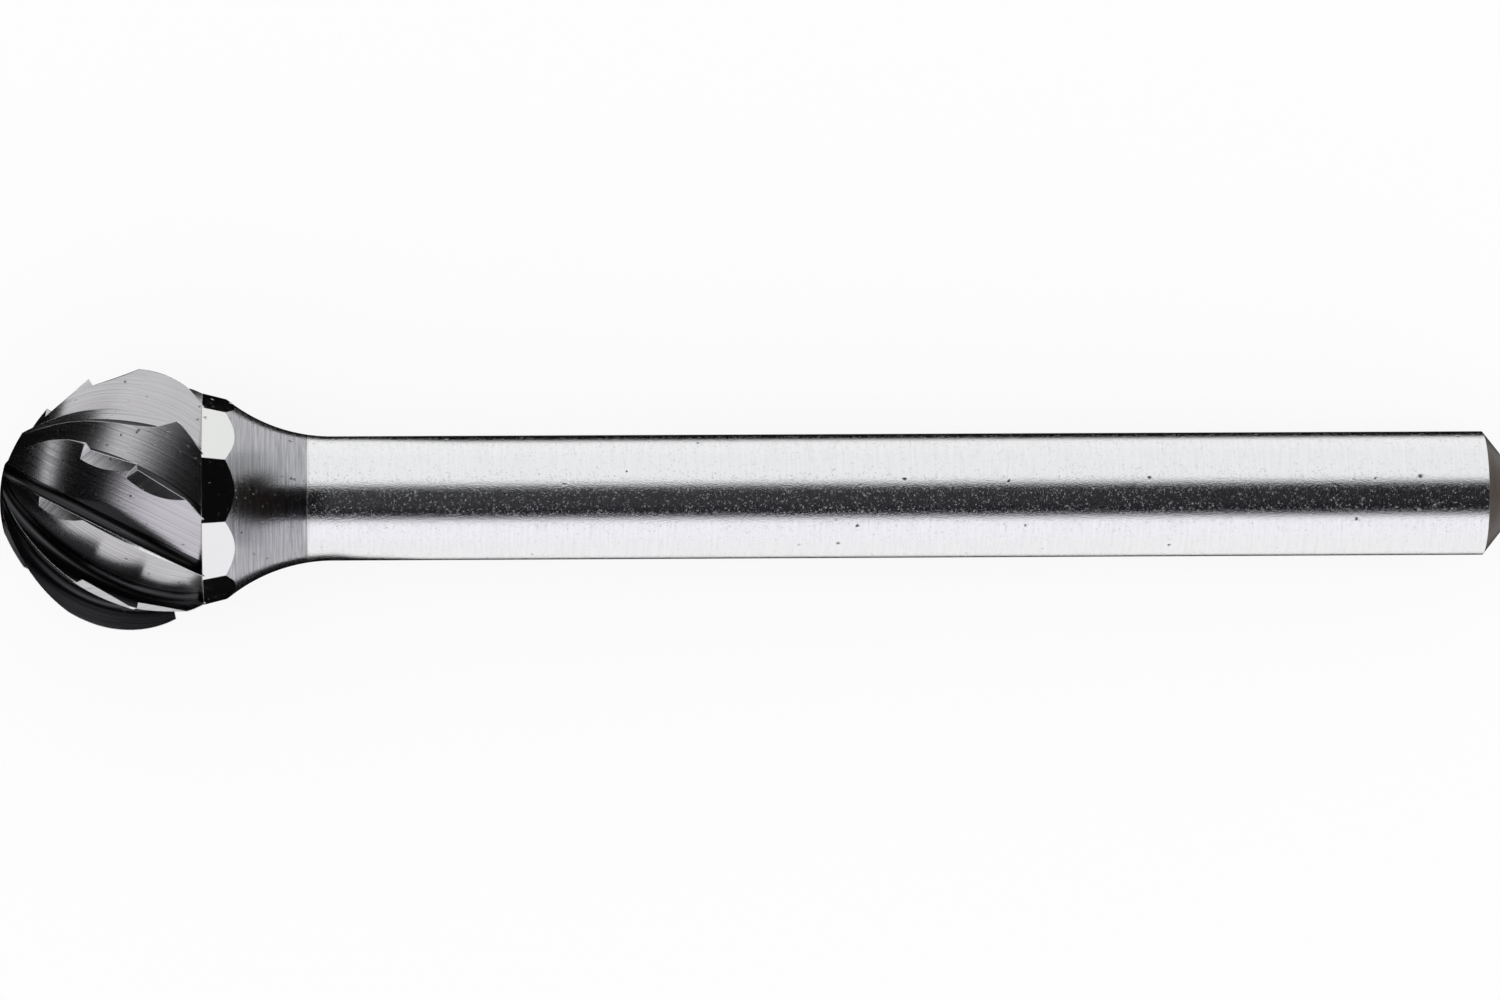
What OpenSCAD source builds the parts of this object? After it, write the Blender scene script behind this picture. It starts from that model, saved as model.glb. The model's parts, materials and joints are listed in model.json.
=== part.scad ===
// Ball-nosed carbide rotary burr, brazed to a plain steel shank.
// It lies as it comes to rest: on two tooth crests and the far rim of the shank.

/* [Shank] */
// Diameter of the shank, the collet size
shank_d = 3; // [2.35:0.005:3.2]
// Length from the nose of the ball to the end of the shank
overall_l = 36.3; // [30:0.1:60]
// Length of the bevel at the end of the shank
bevel_l = 0.42; // [0.1:0.01:1]
// Radius that the bevel takes off the end of the shank
bevel_r = 0.52; // [0.1:0.01:0.8]

/* [Ball] */
// Diameter over the tooth crests
ball_d = 6.3; // [6:0.05:6.6]
// Distance from the middle of the ball to the collar, as a share of the ball's diameter
collar_share = 0.284; // [0.27:0.002:0.3]

/* [Teeth] */
// Number of right-hand teeth
tooth_count = 10; // [8:2:12]
// Helix angle of a tooth at the widest part of the ball
helix_angle = 26.6; // [24:0.2:29]
// Distance from the middle of the ball to the flat face of every tooth, as a share of the ball's diameter
face_share = 0.1365; // [0.127:0.0005:0.146]
// Depth of the gullet at its deepest, as a share of the ball's diameter
depth_share = 0.1175; // [0.095:0.0005:0.135]
// Radius at the bottom of the gullet, as a share of the ball's diameter
round_share = 0.035; // [0.024:0.001:0.048]
// Width of the gullet and tooth back across the tooth, as a share of the ball's diameter
width_share = 0.2635; // [0.246:0.0005:0.27]
// Angle over which the gullet runs out, from its deepest place
gullet_reach = 83; // [80:1:88]
// Latitude of the deepest place of the gullet, towards the nose
gullet_lat = 8; // [4:1:14]

/* [Chip breakers] */
// Latitudes of the notches on each tooth in turn
notch_lats = [[-40], [-20, 6], [22], [-10], [-30, 12], [-20, 16], [-36, 8], [-38, -16], [-34], [-15, 7]];
// Depth of a notch below the tooth crest, as a share of the ball's diameter
notch_share = 0.0335; // [0.024:0.0005:0.048]
// Angle of a notch to the axis, left-handed
notch_angle = 34; // [20:1:45]
// Lean of the notch wheel towards the tooth back
notch_lean = 16; // [0:1:25]
// Slope of the long side of a notch, in degrees
notch_slope = 6; // [3:1:15]
// Slope of its short side, in degrees
notch_wall = 50; // [35:1:70]
// Diameter of the wheel that cuts a notch, as a multiple of the ball's diameter
wheel_share = 1.9; // [1:0.1:2.5]

/* [Thinned teeth] */
// Turn of the second gullet that thins the front of every fifth tooth
thin_turn = 14; // [8:1:16]
// Depth of this second gullet, as a share of the ball's diameter
thin_share = 0.105; // [0.08:0.001:0.112]
// Angle over which it runs out, from its deepest place
thin_reach = 50; // [42:1:60]
// Latitude of its deepest place, towards the nose
thin_lat = 17; // [12:1:35]

/* [Neck] */
// Distance across two opposite flats of the collar, at its front, as a share of the ball's diameter
flats_share = 0.773; // [0.75:0.002:0.785]
// How far the collar's front stands inside the rear of the ball
collar_sink = 0.05; // [0.02:0.01:0.1]
// Turn of the collar's corners past the ends of the tooth crests
collar_turn = 3; // [0:0.5:6]
// Taper of the collar's flats towards the neck, in degrees
collar_taper = 13.5; // [8:0.5:18]
// Radius of the hollow curve between collar and shank
neck_curve_r = 4; // [3.6:0.1:4.4]
// Distance from the nose at which that curve has met the shank
neck_end = 8; // [7.8:0.1:8.4]
// Distance from the nose to the brazed seam
seam_at = 7.4; // [7:0.1:7.6]
// Thickness of the brazing metal
seam_t = 0.04; // [0.03:0.01:0.08]

/* [Hidden] */
$fn = 56;

ball_r = ball_d / 2;
shank_r = shank_d / 2;
pitch = 360 / tooth_count;
collar_from = ball_d * collar_share;
collar_front = ball_r + collar_from - collar_sink;
collar_af = ball_d * flats_share;
face_offset = ball_d * face_share;
gullet_depth = ball_d * depth_share;
gullet_r = ball_d * round_share;
gullet_w = ball_d * width_share;
thin_depth = ball_d * thin_share;
notch_depth = ball_d * notch_share;
notch_wheel_r = ball_d * wheel_share / 2;

// Radius of the ball in the plane of a tooth face, and the wheel path that leaves the gullet there
face_r = sqrt(ball_r * ball_r - face_offset * face_offset);
function path_shift(depth, reach) =
    (2 * depth * face_r - pow(depth, 2)) / (2 * face_r * (1 - cos(reach)) - 2 * depth);

// Radius of the ball where a tooth back meets it, at the gullet's full width
rim_r = sqrt(ball_r * ball_r - pow(gullet_w - face_offset, 2));

// Turn of a crest about the axis at a latitude
function crest_turn(lat) =
    asin((face_offset / ball_r + sin(helix_angle) * sin(lat)) / (cos(helix_angle) * cos(lat)));

// Turn of a tooth about the axis: the two lowest crests stand evenly about the bottom
function tooth_turn(k) = pitch * (k + 0.5) - crest_turn(0);

// Section of a gullet: distance from the axis of its path, and distance behind the tooth face
module gullet_section(depth, shift) {
    path_r = face_r + shift - depth;
    back_r = rim_r + shift;
    back_angle = atan((back_r - path_r) / gullet_w);
    half = (90 - back_angle) / 2;
    reach = gullet_r / tan(half);
    far = path_r + depth * 4;
    polygon([
        [path_r + reach, 0],
        [far, 0],
        [far, gullet_w * 1.2],
        [path_r + (back_r - path_r) * 1.2, gullet_w * 1.2],
        [path_r + reach * sin(back_angle), reach * cos(back_angle)]
    ]);
    translate([path_r + gullet_r / tan(half), gullet_r]) circle(r = gullet_r);
}

// Part of a ring that a wheel sweeps along a tooth face, deepest at a latitude towards the nose
module gullet(depth, reach, lat) {
    shift = path_shift(depth, reach);
    rotate([90 - helix_angle, 0, 0]) translate([-shift * cos(lat), shift * sin(lat), -face_offset])
        rotate(-lat - reach) rotate_extrude(angle = reach * 2) gullet_section(depth, shift);
}

// One wheel cut across a crest, steep on the side towards the nose
module notch(turn, lat) {
    rise = notch_depth * 2;
    run = notch_depth * 6;
    rotate([0, -lat, turn]) translate([ball_r, 0, 0]) rotate(notch_lean)
        translate([notch_wheel_r - notch_depth, 0, 0]) rotate([notch_angle - 90, 0, 0]) rotate_extrude()
        polygon([
            [0, -rise / tan(notch_wall)],
            [notch_wheel_r - rise, -rise / tan(notch_wall)],
            [notch_wheel_r, 0],
            [notch_wheel_r - run * tan(notch_slope), run],
            [0, run]
        ]);
}

// Outline of collar, neck and shank, as radius and distance from the nose
module turned_outline(from, to) {
    intersection() {
        difference() {
            union() {
                polygon([[0, collar_front], [ball_r, collar_front], [ball_r, neck_end], [0, neck_end]]);
                translate([0, neck_end - seam_t]) square([shank_r, overall_l]);
            }
            translate([shank_r + neck_curve_r, neck_end]) circle(r = neck_curve_r, $fn = 200);
        }
        translate([0, from]) square([ball_d, to - from]);
    }
}

module collar_flats() {
    across = collar_af / cos(pitch / 2) / 2;
    fall = (neck_end - collar_front) * tan(collar_taper) / cos(pitch / 2);
    translate([0, 0, collar_front]) rotate(tooth_turn(0) + crest_turn(asin(collar_from / ball_r)) + collar_turn)
        cylinder(h = neck_end - collar_front, r1 = across, r2 = across - fall, $fn = tooth_count);
}

module toothed_ball() {
    difference() {
        difference() {
            difference() {
                difference() {
                    sphere(r = ball_r);
                    translate([0, 0, collar_from]) cylinder(r = ball_r, h = ball_r);
                }
                for (k = [0:tooth_count - 1]) rotate(tooth_turn(k)) gullet(gullet_depth, gullet_reach, gullet_lat);
            }
            for (k = [3:5:tooth_count - 1]) rotate(tooth_turn(k) + thin_turn) gullet(thin_depth, thin_reach, thin_lat);
        }
        for (k = [0:tooth_count - 1]) for (lat = notch_lats[k % len(notch_lats)]) notch(tooth_turn(k) + crest_turn(lat), lat);
    }
}

module carbide_head() {
    color([0.23, 0.23, 0.25]) lay() union() {
        translate([0, 0, ball_r]) toothed_ball();
        intersection() {
            rotate_extrude() turned_outline(collar_front, seam_at);
            collar_flats();
        }
    }
}

module braze_seam() {
    color([0.62, 0.58, 0.47]) lay()
        rotate_extrude() turned_outline(seam_at, seam_at + seam_t);
}

module shank() {
    color([0.78, 0.78, 0.8]) lay() difference() {
        rotate_extrude() turned_outline(seam_at + seam_t, overall_l);
        rotate_extrude()
            polygon([
                [shank_r, overall_l - bevel_l],
                [shank_d, overall_l - bevel_l],
                [shank_d, overall_l + bevel_l],
                [shank_r - bevel_r, overall_l + bevel_l],
                [shank_r - bevel_r, overall_l]
            ]);
    }
}

// Height of the ball's centre when two crests touch the surface and the axis slopes by tilt
function rest_height(tilt) =
    ball_r * max([
        for (lat = [-30:0.5:30]) for (side = [-1, 1])
            cos(tilt) * cos(lat) * cos(side * pitch / 2 + crest_turn(lat) - crest_turn(0)) + sin(tilt) * sin(lat)
    ]);

// Slope of the axis when the rim behind the bevel touches too
function rest_tilt(height) =
    let (reach = overall_l - bevel_l - ball_r)
    asin(height / norm([reach, shank_r])) - atan(shank_r / reach);

tilt = rest_tilt(rest_height(rest_tilt(rest_height(0))));
// Places the middle of the part over the origin
ball_x = (ball_r - (overall_l - ball_r) * cos(tilt) - (shank_r - bevel_r) * sin(tilt)) / 2;

// From the lathe's frame, with the nose at 0 and the shank along +Z, to the pose at rest
module lay() {
    translate([ball_x, 0, rest_height(tilt)]) rotate([0, tilt, 0]) rotate([180, 0, 0]) rotate([0, 90, 0])
        translate([0, 0, -ball_r]) children();
}

carbide_head();
braze_seam();
shank();
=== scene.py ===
import json
import math

import bmesh
import bpy
from mathutils import Matrix, Vector


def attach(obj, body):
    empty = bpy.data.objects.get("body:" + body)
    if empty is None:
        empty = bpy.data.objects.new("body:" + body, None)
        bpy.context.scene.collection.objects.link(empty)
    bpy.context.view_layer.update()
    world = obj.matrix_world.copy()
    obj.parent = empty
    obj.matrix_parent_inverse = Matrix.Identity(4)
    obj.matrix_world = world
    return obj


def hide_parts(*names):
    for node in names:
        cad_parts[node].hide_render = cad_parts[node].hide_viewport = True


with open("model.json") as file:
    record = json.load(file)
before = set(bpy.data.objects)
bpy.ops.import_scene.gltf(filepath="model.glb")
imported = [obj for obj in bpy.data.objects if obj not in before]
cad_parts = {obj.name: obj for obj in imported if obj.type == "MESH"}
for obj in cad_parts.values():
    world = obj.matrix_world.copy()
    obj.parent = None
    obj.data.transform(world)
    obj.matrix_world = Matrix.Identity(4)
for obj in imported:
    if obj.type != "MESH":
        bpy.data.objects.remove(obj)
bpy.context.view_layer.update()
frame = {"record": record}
print("burr scene: frame loaded")

mm = 0.001

# The burr lies where its shank mount says: the axis runs from the nose to the end of the shank
shankMount = frame["record"]["mounts"][0]
axisDirection = Vector(shankMount["axis"]).normalized()
shankLength = shankMount["dims"]["length_mm"]
shankRadius = shankMount["dims"]["r_mm"]

burr = {
    "length": 36.3,          # mm, as all lengths here
    "shankStart": 8.0,       # where the hollow neck has met the shank
    "seamStart": 7.4,
    "seamWidth": 0.04,
    "neckCurve": 4.0,
    "smoothAngle": 9,        # degrees between two faces that still shade as one
}


def burrMatrix():
    # lathe frame in millimetres, nose at 0 and shank along +Z, to the scene in metres
    middle = Vector(shankMount["pos_m"])
    nose = middle - axisDirection * (burr["shankStart"] + shankLength / 2) * mm
    side = Vector((0, -1, 0))
    up = side.cross(axisDirection)
    turn = Matrix((up, side, axisDirection)).transposed().to_4x4()
    return Matrix.Translation(nose) @ turn @ Matrix.Scale(mm, 4)


# mesh helpers

onAxis = 1e-6    # mm, a ring smaller than this becomes one point


def latheMesh(name, profile, slots, segments, closed=False, gaugeRadius=None):
    # profile holds (radius, height) in mm, slots one material slot for each of its edges
    # the UV map "grind" runs in mm: u around the axis, as the wheel cuts, and v across
    gaugeRadius = gaugeRadius or max(radius for radius, height in profile)
    segmentTurn = 2 * math.pi / segments
    bm = bmesh.new()
    uvLayer = bm.loops.layers.uv.new("grind")
    rings = []
    for radius, height in profile:
        if radius < onAxis:
            rings.append([bm.verts.new((0, 0, height))])
            continue
        angles = [2 * math.pi * s / segments for s in range(segments)]
        rings.append([bm.verts.new((radius * math.cos(a), radius * math.sin(a), height)) for a in angles])
    along = [0.0]
    count = len(profile)
    for i in range(count):
        (r0, z0), (r1, z1) = profile[i], profile[(i + 1) % count]
        along.append(along[-1] + math.hypot(r1 - r0, z1 - z0))
    for i in range(count if closed else count - 1):
        near, far = rings[i], rings[(i + 1) % count]
        if len(near) == 1 and len(far) == 1:
            continue
        for s in range(segments):
            corners = []
            for ring, v in ((near, along[i]), (far, along[i + 1])):
                pair = [(ring[0], s + 0.5)]
                if len(ring) > 1:
                    pair = [(ring[s], s), (ring[(s + 1) % segments], s + 1)]
                corners.append([(vert, step * segmentTurn * gaugeRadius, v) for vert, step in pair])
            loop = corners[0] + corners[1][::-1]
            face = bm.faces.new([vert for vert, u, v in loop])
            face.material_index = slots[i]
            for corner, (vert, u, v) in zip(face.loops, loop):
                corner[uvLayer].uv = (u, v)
    bmesh.ops.recalc_face_normals(bm, faces=bm.faces)
    mesh = bpy.data.meshes.new(name)
    bm.to_mesh(mesh)
    bm.free()
    return mesh


def addObject(name, mesh, materials=()):
    obj = bpy.data.objects.new(name, mesh)
    bpy.context.scene.collection.objects.link(obj)
    for material in materials:
        mesh.materials.append(material)
    return obj


def carve(body, cutters, operation="DIFFERENCE"):
    for cutter in cutters:
        cut = body.modifiers.new(cutter.name, "BOOLEAN")
        cut.operation = operation
        cut.solver = "MANIFOLD"
        cut.object = cutter
    bpy.context.view_layer.update()
    evaluated = body.evaluated_get(bpy.context.evaluated_depsgraph_get())
    carved = bpy.data.meshes.new_from_object(evaluated)
    body.modifiers.clear()
    body.data = carved
    for cutter in cutters:
        bpy.data.objects.remove(cutter)


def smoothByAngle(mesh, degrees):
    limit = math.cos(math.radians(degrees))
    bm = bmesh.new()
    bm.from_mesh(mesh)
    for face in bm.faces:
        face.smooth = True
    for edge in bm.edges:
        faces = edge.link_faces
        edge.smooth = len(faces) == 2 and faces[0].normal.dot(faces[1].normal) > limit
    bm.to_mesh(mesh)
    bm.free()


# shader helpers

def fillSocket(tree, socket, value):
    if isinstance(value, bpy.types.NodeSocket):
        tree.links.new(value, socket)
    else:
        socket.default_value = value


def addNode(tree, kind, settings=None, **inputs):
    # an input is named, or numbered as i0, i1 and so on
    node = tree.nodes.new("ShaderNode" + kind)
    for key, value in (settings or {}).items():
        setattr(node, key, value)
    for key, value in inputs.items():
        numbered = key[0] == "i" and key[1:].isdigit()
        fillSocket(tree, node.inputs[int(key[1:]) if numbered else key.replace("_", " ")], value)
    return node


def calculate(tree, operation, *values):
    inputs = {f"i{i}": value for i, value in enumerate(values)}
    return addNode(tree, "Math", {"operation": operation}, **inputs).outputs[0]


def spread(tree, value, start, end, low=0.0, high=1.0, style="LINEAR"):
    return addNode(tree, "MapRange", {"interpolation_type": style}, Value=value,
                   From_Min=start, From_Max=end, To_Min=low, To_Max=high).outputs[0]


def ease(tree, value, start, end, low=0.0, high=1.0):
    return spread(tree, value, start, end, low, high, "SMOOTHSTEP")


def blend(tree, share, first, second):
    return addNode(tree, "Mix", {"data_type": "RGBA"}, i0=share, i6=first, i7=second).outputs[2]


def newGroup(name, inputs, outputs):
    group = bpy.data.node_groups.new(name, "ShaderNodeTree")
    for label, kind, value in inputs:
        socket = group.interface.new_socket(label, in_out="INPUT", socket_type="NodeSocket" + kind)
        if value is not None:
            socket.default_value = value
    for label, kind in outputs:
        group.interface.new_socket(label, in_out="OUTPUT", socket_type="NodeSocket" + kind)
    return group, group.nodes.new("NodeGroupInput").outputs, group.nodes.new("NodeGroupOutput")


def placeGroup(tree, group, **inputs):
    node = tree.nodes.new("ShaderNodeGroup")
    node.node_tree = group
    for key, value in inputs.items():
        fillSocket(tree, node.inputs[key.replace("_", " ")], value)
    return node


def grindingLinesGroup():
    # fine lines along u of the grind map, in two widths, broken along their length
    coarseStretch, coarseShare = (0.45, 0.4, 1.0), 1.4
    paleFrom, paleTo = 0.85, 1.55
    group, given, result = newGroup(
        "grindingLines",
        [("Line Width", "Float", 0.04), ("Line Length", "Float", 1.5), ("Seed", "Float", 0.0)],
        [("Height", "Float"), ("Tone", "Float")])
    uv = addNode(group, "UVMap", {"uv_map": "grind"})
    parts = addNode(group, "SeparateXYZ", Vector=uv.outputs["UV"])
    across = calculate(group, "DIVIDE", parts.outputs["Y"], given["Line Width"])
    along = calculate(group, "DIVIDE", parts.outputs["X"], given["Line Length"])
    fineAt = addNode(group, "CombineXYZ", X=along, Y=across, Z=given["Seed"])
    fine = addNode(group, "TexNoise", {"noise_dimensions": "3D"},
                   Vector=fineAt.outputs[0], Scale=1.0, Detail=2.0)
    coarseAt = addNode(group, "VectorMath", {"operation": "MULTIPLY"}, i0=fineAt.outputs[0], i1=coarseStretch)
    coarse = addNode(group, "TexNoise", {"noise_dimensions": "3D"},
                     Vector=coarseAt.outputs[0], Scale=1.0, Detail=1.0)
    height = calculate(group, "MULTIPLY_ADD", coarse.outputs["Fac"], coarseShare, fine.outputs["Fac"])
    group.links.new(height, result.inputs["Height"])
    group.links.new(spread(group, height, paleFrom, paleTo), result.inputs["Tone"])
    return group


def grainGroup():
    # short random grain of a ground or blasted surface, in object space
    patchShare = 0.06    # patches are this many times as fine as the grain
    group, given, result = newGroup(
        "metalGrain",
        [("Grain Size", "Float", 0.05), ("Seed", "Float", 0.0)],
        [("Height", "Float"), ("Patches", "Float")])
    place = addNode(group, "TexCoord")
    scale = calculate(group, "DIVIDE", 1.0 / mm, given["Grain Size"])
    grain = addNode(group, "TexNoise", {"noise_dimensions": "4D"}, Vector=place.outputs["Object"],
                    W=given["Seed"], Scale=scale, Detail=2.0, Roughness=0.6)
    patchScale = calculate(group, "MULTIPLY", scale, patchShare)
    patches = addNode(group, "TexNoise", {"noise_dimensions": "4D"}, Vector=place.outputs["Object"],
                      W=given["Seed"], Scale=patchScale, Detail=3.0)
    group.links.new(grain.outputs["Fac"], result.inputs["Height"])
    group.links.new(patches.outputs["Fac"], result.inputs["Patches"])
    return group


def pitsGroup():
    # scattered small pits, round to slightly long, none in most cells
    warpFineness, warpReach = 3.0, 0.12 * mm
    seedStep = (0.01, 0.013, 0.017)    # metres that one seed moves the pattern
    group, given, result = newGroup(
        "scatteredPits",
        [("Spacing", "Float", 0.6), ("Pit Size", "Float", 0.12),
         ("Share", "Float", 0.4), ("Seed", "Float", 0.0)],
        [("Mask", "Float")])
    place = addNode(group, "TexCoord")
    scale = calculate(group, "DIVIDE", 1.0 / mm, given["Spacing"])
    warp = addNode(group, "TexNoise", {"noise_dimensions": "3D"}, Vector=place.outputs["Object"],
                   Scale=calculate(group, "MULTIPLY", scale, warpFineness), Detail=1.0)
    warpAmount = addNode(group, "VectorMath", {"operation": "SCALE"},
                         i0=warp.outputs["Color"], Scale=warpReach)
    seedShift = addNode(group, "VectorMath", {"operation": "MULTIPLY_ADD"},
                        i0=given["Seed"], i1=seedStep, i2=warpAmount.outputs[0])
    warped = addNode(group, "VectorMath", {"operation": "ADD"},
                     i0=place.outputs["Object"], i1=seedShift.outputs[0])
    cells = addNode(group, "TexVoronoi", {"voronoi_dimensions": "3D", "feature": "F1"},
                    Vector=warped.outputs[0], Scale=scale)
    chance = addNode(group, "SeparateColor", Color=cells.outputs["Color"])
    size = calculate(group, "MULTIPLY", chance.outputs["Green"], given["Pit Size"])
    near = ease(group, cells.outputs["Distance"], size, 0.0)
    chosen = calculate(group, "LESS_THAN", chance.outputs["Red"], given["Share"])
    group.links.new(calculate(group, "MULTIPLY", near, chosen), result.inputs["Mask"])
    return group


def edgeWearHighlightGroup():
    # finds the sharp edges by the turn between the true and the rounded normal; its mask marks the edges for
    # wear and a painted highlight
    wearHighlightFrom, wearHighlightTo = 0.98, 0.8
    group, given, result = newGroup(
        "edgeWearHighlight",
        [("Width", "Float", 0.03 * mm)],
        [("Mask", "Float"), ("Normal", "Vector")])
    rounded = addNode(group, "Bevel", {"samples": 4}, Radius=given["Width"])
    plain = addNode(group, "NewGeometry")
    match = addNode(group, "VectorMath", {"operation": "DOT_PRODUCT"},
                    i0=rounded.outputs["Normal"], i1=plain.outputs["Normal"])
    group.links.new(ease(group, match.outputs["Value"], wearHighlightFrom, wearHighlightTo), result.inputs["Mask"])
    group.links.new(rounded.outputs["Normal"], result.inputs["Normal"])
    return group


grindingLines = grindingLinesGroup()
metalGrain = grainGroup()
scatteredPits = pitsGroup()
edgeWearHighlight = edgeWearHighlightGroup()

pitRoughness = 0.6
speckSize = 0.42
speckSeedStep = 0.5
patchFrom, patchTo = 0.3, 0.7


def metalMaterial(name, spec):
    material = bpy.data.materials.new(name)
    material.use_nodes = True
    tree = material.node_tree
    bsdf = tree.nodes["Principled BSDF"]
    bsdf.inputs["Metallic"].default_value = 1.0
    seed = spec["seed"]
    lines = placeGroup(tree, grindingLines, Line_Width=spec["lineWidth"],
                       Line_Length=spec["lineLength"], Seed=seed)
    grain = placeGroup(tree, metalGrain, Grain_Size=spec["grainSize"], Seed=seed)
    pits = placeGroup(tree, scatteredPits, Spacing=spec["pitSpacing"], Pit_Size=spec["pitSize"],
                      Share=spec["pitShare"], Seed=seed)
    specks = placeGroup(tree, scatteredPits, Spacing=spec["speckSpacing"], Pit_Size=speckSize,
                        Share=spec["speckShare"], Seed=seed + speckSeedStep)
    wearAndHighlight = placeGroup(tree, edgeWearHighlight, Width=spec["edgeWidth"] * mm)
    # colour: streaks and patches darken the metal a little, pits a lot, and sharp edges are lightened, partly
    # wear and partly a painted highlight
    streak = spread(tree, lines.outputs["Tone"], 0.0, 1.0, 1.0 - spec["streakTone"], 1.0)
    patch = spread(tree, grain.outputs["Patches"], patchFrom, patchTo, 1.0 - spec["patchTone"], 1.0)
    toned = blend(tree, calculate(tree, "MULTIPLY", streak, patch), spec["darkColour"], spec["colour"])
    # painted highlight: the edge mask lightens sharp edges towards the edge colour, partly as wear
    wornAndHighlit = blend(tree, wearAndHighlight.outputs["Mask"], toned, spec["edgeWearHighlightColour"])
    pitted = blend(tree, pits.outputs["Mask"], wornAndHighlit, spec["pitColour"])
    tree.links.new(pitted, bsdf.inputs["Base Color"])
    # roughness follows the streaks, and pits are rough
    roughest = spec["roughness"] + spec["roughSpread"]
    roughStreak = spread(tree, lines.outputs["Tone"], 0.0, 1.0, roughest, spec["roughness"])
    rough = addNode(tree, "Mix", {"data_type": "FLOAT"},
                    i0=pits.outputs["Mask"], i2=roughStreak, i3=pitRoughness)
    tree.links.new(rough.outputs[0], bsdf.inputs["Roughness"])
    # bump: lines and grain stand up, specks and pits go in, all over the rounded edges
    normal = wearAndHighlight.outputs["Normal"]
    for height, depth, inward in ((lines.outputs["Height"], "lineDepth", False),
                                  (grain.outputs["Height"], "grainDepth", False),
                                  (specks.outputs["Mask"], "speckDepth", True),
                                  (pits.outputs["Mask"], "pitDepth", True)):
        normal = addNode(tree, "Bump", {"invert": inward}, Height=height, Normal=normal,
                         Strength=1.0, Distance=spec[depth] * mm).outputs[0]
    tree.links.new(normal, bsdf.inputs["Normal"])
    return material


# finishes: one base for the carbide, changed where each wheel has cut, with painted shade on the tooth faces
# and a painted highlight on the lands

# the edge colour lightens the sharp edges, partly wear and partly a painted highlight
carbideFinish = {
    "colour": (0.6, 0.59, 0.61, 1), "darkColour": (0.42, 0.41, 0.43, 1), "edgeWearHighlightColour": (0.8, 0.79, 0.78, 1),
    "pitColour": (0.05, 0.05, 0.055, 1),
    "roughness": 0.17, "roughSpread": 0.1,
    "lineWidth": 0.02, "lineLength": 3.2, "lineDepth": 0.0009,
    "grainSize": 0.06, "grainDepth": 0.0008,
    "pitSpacing": 0.3, "pitSize": 0.22, "pitShare": 0.7, "pitDepth": 0.004,
    "speckSpacing": 0.1, "speckShare": 0.2, "speckDepth": 0.0012,
    "streakTone": 0.75, "patchTone": 0.25, "edgeWidth": 0.025, "seed": 1.0,
}

toothBackCarbide = metalMaterial("toothBackCarbide", carbideFinish)
# painted shade: the tooth faces get a far darker copy of the carbide, standing in for the shade in the
# gullets
toothFacePaintedShadeCarbide = metalMaterial("toothFacePaintedShadeCarbide", {
    **carbideFinish,
    "colour": (0.085, 0.085, 0.09, 1), "darkColour": (0.03, 0.03, 0.032, 1),
    "roughness": 0.24, "lineWidth": 0.03, "lineDepth": 0.002, "streakTone": 1.0, "seed": 2.0,
})
# painted highlight: the lands along the crests get a lighter copy of the carbide
toothLandPaintedHighlightCarbide = metalMaterial("toothLandPaintedHighlightCarbide", {
    **carbideFinish,
    "colour": (0.82, 0.81, 0.79, 1), "darkColour": (0.7, 0.69, 0.68, 1),
    "roughness": 0.12, "lineDepth": 0.0004, "seed": 3.0,
})
notchCarbide = metalMaterial("notchCarbide", {
    **carbideFinish, "lineWidth": 0.06, "lineDepth": 0.0015, "seed": 4.0,
})
collarCarbide = metalMaterial("collarCarbide", {
    **carbideFinish,
    "colour": (0.82, 0.82, 0.81, 1), "darkColour": (0.76, 0.76, 0.75, 1), "pitColour": (0.6, 0.6, 0.6, 1),
    "roughness": 0.06, "roughSpread": 0.03, "lineDepth": 0.0002, "grainDepth": 0.0002,
    "streakTone": 0.1, "patchTone": 0.1, "pitSpacing": 0.45, "pitShare": 0.5, "pitDepth": 0.02, "seed": 5.0,
})
neckCarbide = metalMaterial("neckCarbide", {
    **carbideFinish,
    "colour": (0.52, 0.52, 0.54, 1), "darkColour": (0.27, 0.27, 0.29, 1), "roughness": 0.16,
    "lineWidth": 0.026, "lineLength": 1.0, "lineDepth": 0.0011, "grainDepth": 0.0025, "pitSize": 0.26,
    "speckShare": 0.45, "speckDepth": 0.003, "seed": 6.0,
})
print("burr scene: finishes ready")


# the head

# lengths in mm, angles in degrees, and latitudes grow towards the collar
head = {
    "ballRadius": 3.15,
    "collarFrom": 1.7892,        # from the ball's centre
    "collarSink": 0.05,
    "toothCount": 10,
    "helixAngle": 26.6,
    "faceOffset": 0.86,          # from the ball's centre to each tooth face
    "gulletDepth": 0.7403,
    "gulletRadius": 0.2205,
    "gulletWidth": 1.66,
    "gulletReach": 83,
    "gulletLatitude": 8,
    "thinFirst": 3,              # second gullet that thins the front of tooth 3 and each fifth after it
    "thinEvery": 5,
    "thinTurn": 14,
    "thinDepth": 0.6615,
    "thinReach": 50,
    "thinLatitude": 17,
    "notchLatitudes": [[-40], [-20, 6], [22], [-10], [-30, 12],
                       [-20, 16], [-36, 8], [-38, -16], [-34], [-15, 7]],
    "notchDepth": 0.2111,
    "notchAngle": 34,
    "notchLean": 16,
    "notchSlope": 6,
    "notchWall": 50,
    "notchWheel": 5.985,
    "collarAcrossFlats": 4.87,
    "collarTurn": 3,
    "collarTaper": 13.5,
    "ballRings": 90, "ballSegments": 240,
    "neckRings": 80, "neckSegments": 360,
    "gulletRings": 20, "gulletSegmentsPerMm": 130,
    "notchSegments": 720,
}

headMaterials = [toothLandPaintedHighlightCarbide, toothBackCarbide, toothFacePaintedShadeCarbide,
                 notchCarbide, collarCarbide, neckCarbide]
landSlot, backSlot, faceSlot, notchSlot, flatSlot, neckSlot = range(6)


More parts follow.
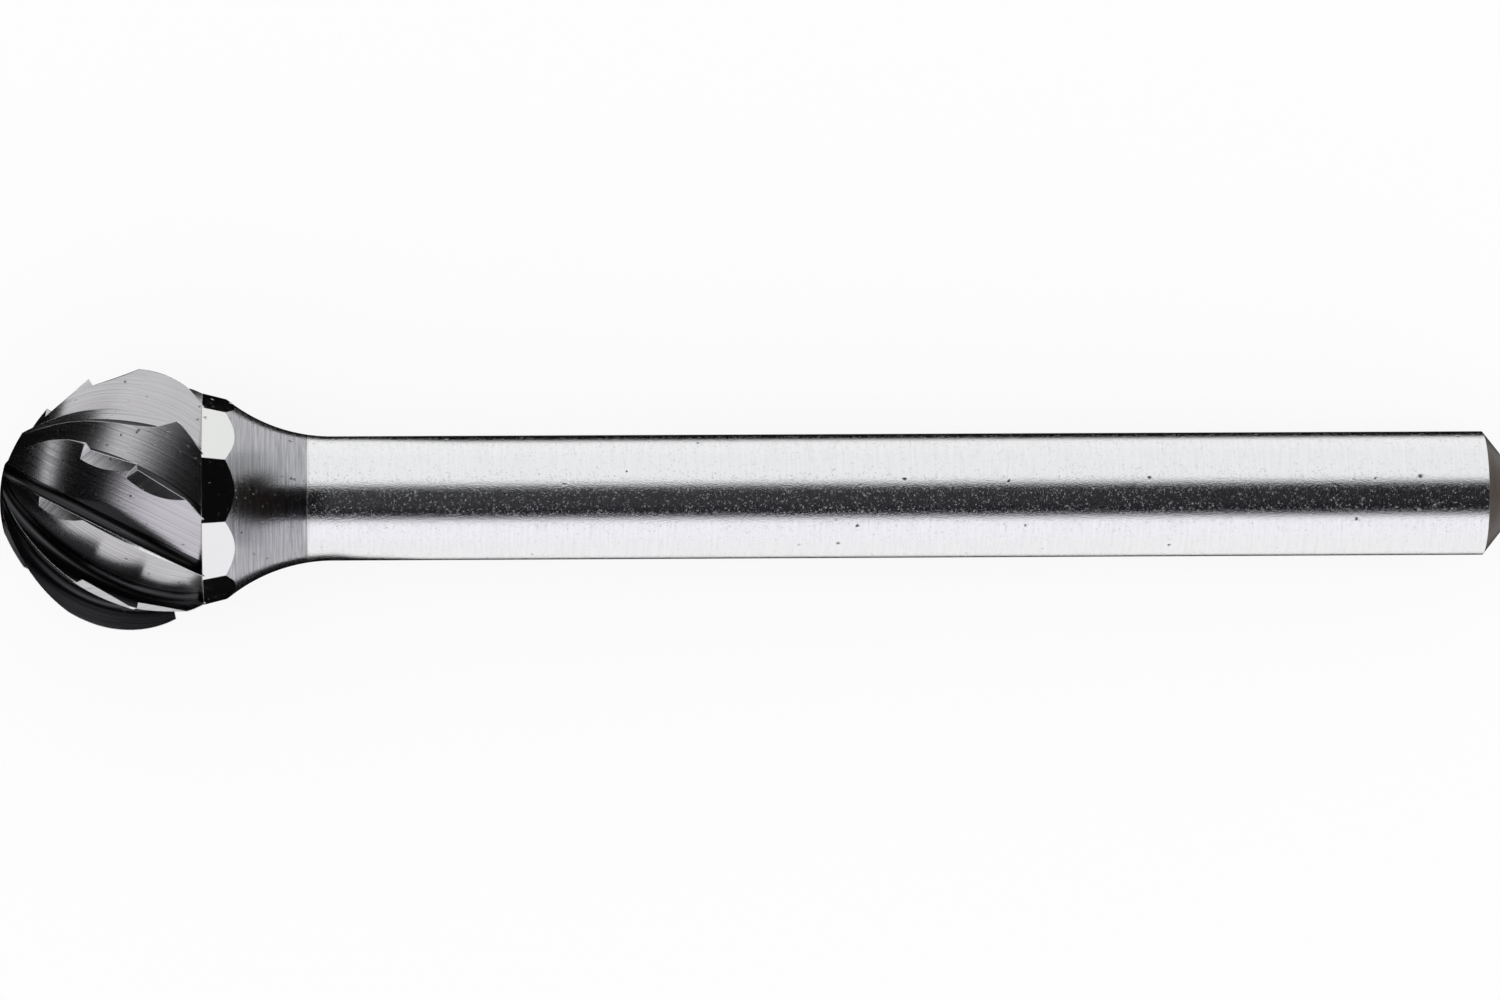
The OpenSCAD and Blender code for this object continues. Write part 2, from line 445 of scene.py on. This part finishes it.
def crestTurn(latitude):
    # turn of a tooth crest about the axis at a latitude, all in radians
    helix = math.radians(head["helixAngle"])
    offset = head["faceOffset"] / head["ballRadius"]
    return math.asin((offset + math.sin(helix) * math.sin(latitude)) / (math.cos(helix) * math.cos(latitude)))


def toothTurn(k):
    return 2 * math.pi / head["toothCount"] * (k + 0.5) - crestTurn(0)


def arcPoints(centre, radius, start, end, count):
    return [(centre[0] + radius * math.cos(start + (end - start) * i / count),
             centre[1] + radius * math.sin(start + (end - start) * i / count)) for i in range(count + 1)]


def gulletPath(depth, reachDegrees):
    # radius of the wheel's path and how far its centre lies from the ball's
    ballRadius, offset = head["ballRadius"], head["faceOffset"]
    faceRadius = math.sqrt(ballRadius ** 2 - offset ** 2)
    reach = math.radians(reachDegrees)
    shift = (2 * depth * faceRadius - depth ** 2) / (2 * faceRadius * (1 - math.cos(reach)) - 2 * depth)
    return faceRadius + shift - depth, shift


def gulletProfile(path, shift):
    width = head["gulletWidth"]
    back = math.sqrt(head["ballRadius"] ** 2 - (width - head["faceOffset"]) ** 2) + shift
    backAngle = math.atan((back - path) / width)
    reach = head["gulletRadius"] / math.tan((math.pi / 2 - backAngle) / 2)
    far = path + head["gulletDepth"] * 4
    bottom = arcPoints((path + reach, head["gulletRadius"]), head["gulletRadius"],
                       math.pi - backAngle, math.pi * 1.5, head["gulletRings"])
    profile = [(far, 0), (far, width), (back, width)] + bottom
    slots = [faceSlot, faceSlot, backSlot] + [faceSlot] * len(bottom)
    return profile, slots


def makeGullets(teeth, extraTurn, depth, reachDegrees, latitudeDegrees):
    path, shift = gulletPath(depth, reachDegrees)
    profile, slots = gulletProfile(path, shift)
    segments = int(head["gulletSegmentsPerMm"] * path)
    mesh = latheMesh("gulletWheel", profile, slots, segments, closed=True, gaugeRadius=path)
    lean = math.radians(latitudeDegrees)
    offset = Matrix.Translation((-shift * math.cos(lean), shift * math.sin(lean), -head["faceOffset"]))
    gullets = []
    for k in teeth:
        gullet = addObject(f"gullet{k}", mesh.copy(), headMaterials)
        gullet.matrix_world = (Matrix.Rotation(toothTurn(k) + math.radians(extraTurn), 4, "Z")
                               @ Matrix.Rotation(math.radians(90 - head["helixAngle"]), 4, "X") @ offset)
        gullets.append(gullet)
    return gullets


def makeNotches():
    # a wheel across each crest, steep on the side towards the nose
    wheel, depth = head["notchWheel"], head["notchDepth"]
    rise, run = depth * 2, depth * 6
    wall = rise / math.tan(math.radians(head["notchWall"]))
    profile = [(0, -wall), (wheel - rise, -wall), (wheel, 0),
               (wheel - run * math.tan(math.radians(head["notchSlope"])), run), (0, run)]
    mesh = latheMesh("notchWheel", profile, [notchSlot] * 4, head["notchSegments"])
    notches = []
    for k in range(head["toothCount"]):
        for degrees in head["notchLatitudes"][k]:
            latitude = math.radians(degrees)
            notch = addObject(f"notch{k}", mesh.copy(), headMaterials)
            notch.matrix_world = (Matrix.Rotation(toothTurn(k) + crestTurn(latitude), 4, "Z")
                                  @ Matrix.Rotation(-latitude, 4, "Y")
                                  @ Matrix.Translation((head["ballRadius"], 0, 0))
                                  @ Matrix.Rotation(math.radians(head["notchLean"]), 4, "Z")
                                  @ Matrix.Translation((wheel - depth, 0, 0))
                                  @ Matrix.Rotation(math.radians(head["notchAngle"] - 90), 4, "X"))
            notches.append(notch)
    return notches


def makeToothedBall():
    radius, rings = head["ballRadius"], head["ballRings"]
    rear = math.asin(head["collarFrom"] / radius)
    profile = arcPoints((0, 0), radius, -math.pi / 2, rear, rings)
    profile[0] = (0, -radius)
    profile.append((0, head["collarFrom"]))
    mesh = latheMesh("toothedBall", profile, [landSlot] * rings + [flatSlot], head["ballSegments"])
    ball = addObject("toothedBall", mesh, headMaterials)
    allTeeth = range(head["toothCount"])
    thinTeeth = allTeeth[head["thinFirst"]::head["thinEvery"]]
    gullets = makeGullets(allTeeth, 0, head["gulletDepth"], head["gulletReach"], head["gulletLatitude"])
    gullets += makeGullets(thinTeeth, head["thinTurn"], head["thinDepth"],
                           head["thinReach"], head["thinLatitude"])
    carve(ball, gullets + makeNotches())
    ball.data.transform(Matrix.Translation((0, 0, radius)))
    return ball


def neckRadius(z):
    # hollow curve between the collar and the shank
    fall = min(burr["shankStart"] - z, burr["neckCurve"])
    return shankRadius + burr["neckCurve"] - math.sqrt(burr["neckCurve"] ** 2 - fall ** 2)


def makeCollar():
    # the hollow neck, cut to the collar's flats
    front = head["ballRadius"] + head["collarFrom"] - head["collarSink"]
    rings = head["neckRings"]
    heights = [front + (burr["seamStart"] - front) * i / rings for i in range(rings + 1)]
    profile = [(0, front)] + [(neckRadius(z), z) for z in heights] + [(0, burr["seamStart"])]
    slots = [flatSlot] + [neckSlot] * (rings + 1)
    neck = addObject("neck", latheMesh("neck", profile, slots, head["neckSegments"]), headMaterials)
    half = math.pi / head["toothCount"]
    corner = head["collarAcrossFlats"] / 2 / math.cos(half)
    depth = burr["shankStart"] - front
    fall = depth * math.tan(math.radians(head["collarTaper"])) / math.cos(half)
    outline = [(0, front), (corner, front), (corner - fall, front + depth), (0, front + depth)]
    flats = addObject("flats", latheMesh("flats", outline, [flatSlot] * 3, head["toothCount"]), headMaterials)
    rear = math.asin(head["collarFrom"] / head["ballRadius"])
    turn = toothTurn(0) + crestTurn(rear) + math.radians(head["collarTurn"])
    flats.matrix_world = Matrix.Rotation(turn, 4, "Z")
    carve(neck, [flats], "INTERSECT")
    return neck


def joinMeshes(objects, name):
    bm = bmesh.new()
    for obj in objects:
        bm.from_mesh(obj.data)
    mesh = bpy.data.meshes.new(name)
    bm.to_mesh(mesh)
    bm.free()
    for obj in objects:
        bpy.data.objects.remove(obj)
    return mesh


def makeHead():
    mesh = joinMeshes([makeToothedBall(), makeCollar()], "burrHead")
    mesh.transform(burrMatrix())
    smoothByAngle(mesh, burr["smoothAngle"])
    piece = addObject("burrHead", mesh, headMaterials)
    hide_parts("carbide_head")
    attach(piece, "root")
    print("burr scene: head made,", len(mesh.polygons), "faces")


makeHead()


# the shank

shank = {
    "bevelLength": 0.42,
    "bevelRadial": 0.52,
    "neckRings": 12, "bodyRings": 60, "segments": 360,
}

shankFinish = {
    "colour": (0.88, 0.88, 0.89, 1), "darkColour": (0.74, 0.74, 0.76, 1), "edgeWearHighlightColour": (0.9, 0.9, 0.9, 1),
    "pitColour": (0.03, 0.03, 0.035, 1),
    "roughness": 0.12, "roughSpread": 0.05,
    "lineWidth": 0.03, "lineLength": 0.5, "lineDepth": 0.0004,
    "grainSize": 0.032, "grainDepth": 0.005,
    "pitSpacing": 0.5, "pitSize": 0.16, "pitShare": 0.5, "pitDepth": 0.01,
    "speckSpacing": 0.055, "speckShare": 0.7, "speckDepth": 0.0035,
    "streakTone": 0.25, "patchTone": 0.1, "edgeWidth": 0.02, "seed": 7.0,
}
groundSteel = metalMaterial("groundSteel", shankFinish)
bevelSteel = metalMaterial("bevelSteel", {
    **shankFinish,
    "colour": (0.075, 0.074, 0.076, 1), "darkColour": (0.06, 0.034, 0.018, 1), "roughness": 0.34,
    "lineWidth": 0.03, "lineLength": 6.0, "lineDepth": 0.0015, "grainSize": 0.035, "grainDepth": 0.012,
    "patchTone": 1.0, "seed": 8.0,
})


def makeShank():
    start, neckEnd, end = burr["seamStart"] + burr["seamWidth"], burr["shankStart"], burr["length"]
    bodyEnd = end - shank["bevelLength"]
    neckRings, bodyRings = shank["neckRings"], shank["bodyRings"]
    neckHeights = [start + (neckEnd - start) * i / neckRings for i in range(neckRings)]
    bodyHeights = [neckEnd + (bodyEnd - neckEnd) * i / bodyRings for i in range(bodyRings + 1)]
    profile = [(0, start)] + [(neckRadius(z), z) for z in neckHeights]
    profile += [(shankRadius, z) for z in bodyHeights] + [(shankRadius - shank["bevelRadial"], end), (0, end)]
    slots = [0] * (len(profile) - 3) + [1, 1]
    mesh = latheMesh("burrShank", profile, slots, shank["segments"], gaugeRadius=shankRadius)
    mesh.transform(burrMatrix())
    smoothByAngle(mesh, burr["smoothAngle"])
    piece = addObject("burrShank", mesh, [groundSteel, bevelSteel])
    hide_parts("shank")
    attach(piece, "root")
    print("burr scene: shank made")


makeShank()


# the brazed seam keeps its CAD solid and gets a finish

seamFinish = {
    **shankFinish,
    "colour": (0.84, 0.835, 0.82, 1), "darkColour": (0.74, 0.73, 0.71, 1),
    "edgeWearHighlightColour": (0.84, 0.835, 0.82, 1), "roughness": 0.16, "edgeWidth": 0.002, "seed": 9.0,
}


def dressSeam():
    brazing = metalMaterial("brazingMetal", seamFinish)
    seam = bpy.data.objects["braze_seam"]
    for slot in seam.material_slots:
        slot.material = brazing


dressSeam()


# floor, studio light and camera

studio = {
    "floorSize": 6.0,
    "floorColour": (0.95, 0.95, 0.95, 1),
    "floorRoughness": 0.9,
    "floorOwnWhite": 0.85,
    "upperTent": (0.94, 0.955, 0.95, 1),
    "lowerTent": (1.0, 0.99, 1.03, 1),
    "gapUpper": (0.06, 0.06, 0.064, 1),
    "gapLower": (0.016, 0.014, 0.021, 1),
    "gapEnds": (0.003, 0.003, 0.0035, 1),
    "noseWall": (0.003, 0.003, 0.0035, 1),
    "shankWall": (0.012, 0.008, 0.006, 1),
    # painted dark reflections: black cards on the floor that only the burr's gloss shows
    "cardHeight": 0.01,
    "paintedShadeColour": (0.004, 0.004, 0.004, 1),
    "cardRoughness": 1.0,
    "cards": {
        "paintedShadeUnderBurr": [(-18.4, -3.2), (-16.5, -3.6), (-15.2, -4), (-12.7, -7), (-10.8, -7), (-9.7, -4.2),
                          (-8, -3), (19, -2.3), (19, 3.6), (-7, 5.5), (-9.5, 4.4), (-18.4, 4.4)],
        "paintedShadePastNose": [(-3000, -1495), (-40, -21), (-30, -13), (-26, -9.5), (-23, -4.5), (-18.4, -3.2),
                         (-18.4, 4.4), (-20.7, 5), (-20.9, 16), (-60, 60), (-3000, 1911)],
    },
    "upperFrom": 24, "lowerFrom": 41,    # degrees from the zenith where each side's tent begins
    "gapSplit": 21,                      # and where the gap's darker part begins
    "soften": 3,
    # how far a direction leans along the burr, where 1 is straight along it
    "gapFrom": 0.09, "gapTo": 0.16,
    "noseFrom": 0.45, "noseTo": 0.65,
    "endFrom": 0.45, "endTo": 0.8,
    "noseFootFrom": 0.95, "noseFootTo": 0.985,
    "shankFootFrom": 0.985, "shankFootTo": 0.999,
    "endSideFrom": 36, "endSideTo": 64, "endSideShare": 0.35,    # degrees where the shank's wall thins out
    "cameraLens": 200,
    "cameraTurn": -0.276,
    "cameraHeight": 203.96,
    "cameraAt": (-0.081, -0.085),
}


def mattMaterial(name, colour, roughness):
    material = bpy.data.materials.new(name)
    material.use_nodes = True
    bsdf = material.node_tree.nodes["Principled BSDF"]
    bsdf.inputs["Base Color"].default_value = colour
    bsdf.inputs["Roughness"].default_value = roughness
    bsdf.inputs["Specular IOR Level"].default_value = 0.0
    return material


def makeFloor():
    half = studio["floorSize"] / 2
    mesh = bpy.data.meshes.new("floor")
    corners = [(-half, -half, 0), (half, -half, 0), (half, half, 0), (-half, half, 0)]
    mesh.from_pydata(corners, [], [(0, 1, 2, 3)])
    material = mattMaterial("paleFloor", studio["floorColour"], studio["floorRoughness"])
    tree = material.node_tree
    # part of the floor's white is its own, for what is seen of it straight, in gloss or through glass
    rays = addNode(tree, "LightPath").outputs
    straight = calculate(tree, "MAXIMUM", rays["Is Camera Ray"], rays["Is Glossy Ray"])
    seen = calculate(tree, "MAXIMUM", straight, rays["Is Transmission Ray"])
    share = calculate(tree, "MULTIPLY", seen, studio["floorOwnWhite"])
    white = addNode(tree, "Emission", Color=(1, 1, 1, 1), Strength=1.0)
    lit = tree.nodes["Principled BSDF"]
    mixed = addNode(tree, "MixShader", i0=share, i1=lit.outputs[0], i2=white.outputs[0])
    tree.links.new(mixed.outputs[0], tree.nodes["Material Output"].inputs["Surface"])
    addObject("floor", mesh, [material])


def makeCards():
    # black cards on the floor, one under the burr and one past its nose, that only its gloss shows: painted
    # dark reflections, where its gloss would otherwise show the pale floor
    material = mattMaterial("paintedShadeCard", studio["paintedShadeColour"], studio["cardRoughness"])
    for name, outline in studio["cards"].items():
        mesh = bpy.data.meshes.new(name)
        corners = [(x * mm, y * mm, studio["cardHeight"] * mm) for x, y in outline]
        mesh.from_pydata(corners, [], [tuple(range(len(corners)))])
        card = addObject(name, mesh, [material])
        card.visible_camera = False
        card.visible_diffuse = False
        card.visible_shadow = False


def makeStudio():
    # two tents of cloth along the burr, a dark gap for the camera above, dark walls past its ends
    world = bpy.data.worlds.new("studio")
    bpy.context.scene.world = world
    world.use_nodes = True
    tree = world.node_tree
    place = addNode(tree, "TexCoord")
    parts = addNode(tree, "SeparateXYZ", Vector=place.outputs["Generated"])
    along = parts.outputs["X"]
    angle = calculate(tree, "ARCTAN2", parts.outputs["Y"], parts.outputs["Z"])
    soften = math.radians(studio["soften"])
    upperEdge, lowerEdge = math.radians(studio["upperFrom"]), math.radians(studio["lowerFrom"])
    split = math.radians(studio["gapSplit"])
    upper = ease(tree, angle, upperEdge - soften, upperEdge + soften)
    lower = ease(tree, angle, soften - lowerEdge, -soften - lowerEdge)
    gapShare = ease(tree, angle, -split - soften, -split + soften)
    gap = blend(tree, gapShare, studio["gapLower"], studio["gapUpper"])
    gapEnd = ease(tree, calculate(tree, "ABSOLUTE", along), studio["gapFrom"], studio["gapTo"])
    cameraGap = blend(tree, gapEnd, gap, studio["gapEnds"])
    upperTent = blend(tree, upper, cameraGap, studio["upperTent"])
    tents = blend(tree, lower, upperTent, studio["lowerTent"])
    # the wall past the shank thins out towards its sides
    shankEnd = ease(tree, along, studio["endFrom"], studio["endTo"])
    side = ease(tree, calculate(tree, "ABSOLUTE", angle), math.radians(studio["endSideFrom"]),
                math.radians(studio["endSideTo"]), 1.0, studio["endSideShare"])
    closed = blend(tree, calculate(tree, "MULTIPLY", shankEnd, side), tents, studio["shankWall"])
    noseEnd = ease(tree, along, -studio["noseFrom"], -studio["noseTo"])
    bothWalls = blend(tree, noseEnd, closed, studio["noseWall"])
    # each wall ends where a direction runs almost straight along the burr, and pale cloth follows
    noseFoot = ease(tree, along, -studio["noseFootFrom"], -studio["noseFootTo"])
    shankFoot = ease(tree, along, studio["shankFootFrom"], studio["shankFootTo"])
    foot = calculate(tree, "MAXIMUM", noseFoot, shankFoot)
    walled = blend(tree, foot, bothWalls, studio["upperTent"])
    # matt surfaces get plain white light; the camera, gloss and glass all see the same studio
    rays = addNode(tree, "LightPath").outputs
    background = tree.nodes["Background"]
    tree.links.new(blend(tree, rays["Is Diffuse Ray"], walled, (1, 1, 1, 1)), background.inputs["Color"])
    background.inputs["Strength"].default_value = 1.0


def makeCamera():
    data = bpy.data.cameras.new("burrCamera")
    data.lens = studio["cameraLens"]
    data.clip_start, data.clip_end = 0.01, 10
    camera = bpy.data.objects.new("burrCamera", data)
    bpy.context.scene.collection.objects.link(camera)
    bpy.context.scene.camera = camera
    camera.location = Vector((*studio["cameraAt"], studio["cameraHeight"])) * mm
    camera.rotation_euler = (0, 0, math.radians(studio["cameraTurn"]))


makeFloor()
makeCards()
makeStudio()
makeCamera()
bpy.context.scene.view_settings.view_transform = "Standard"
print("burr scene: studio ready")
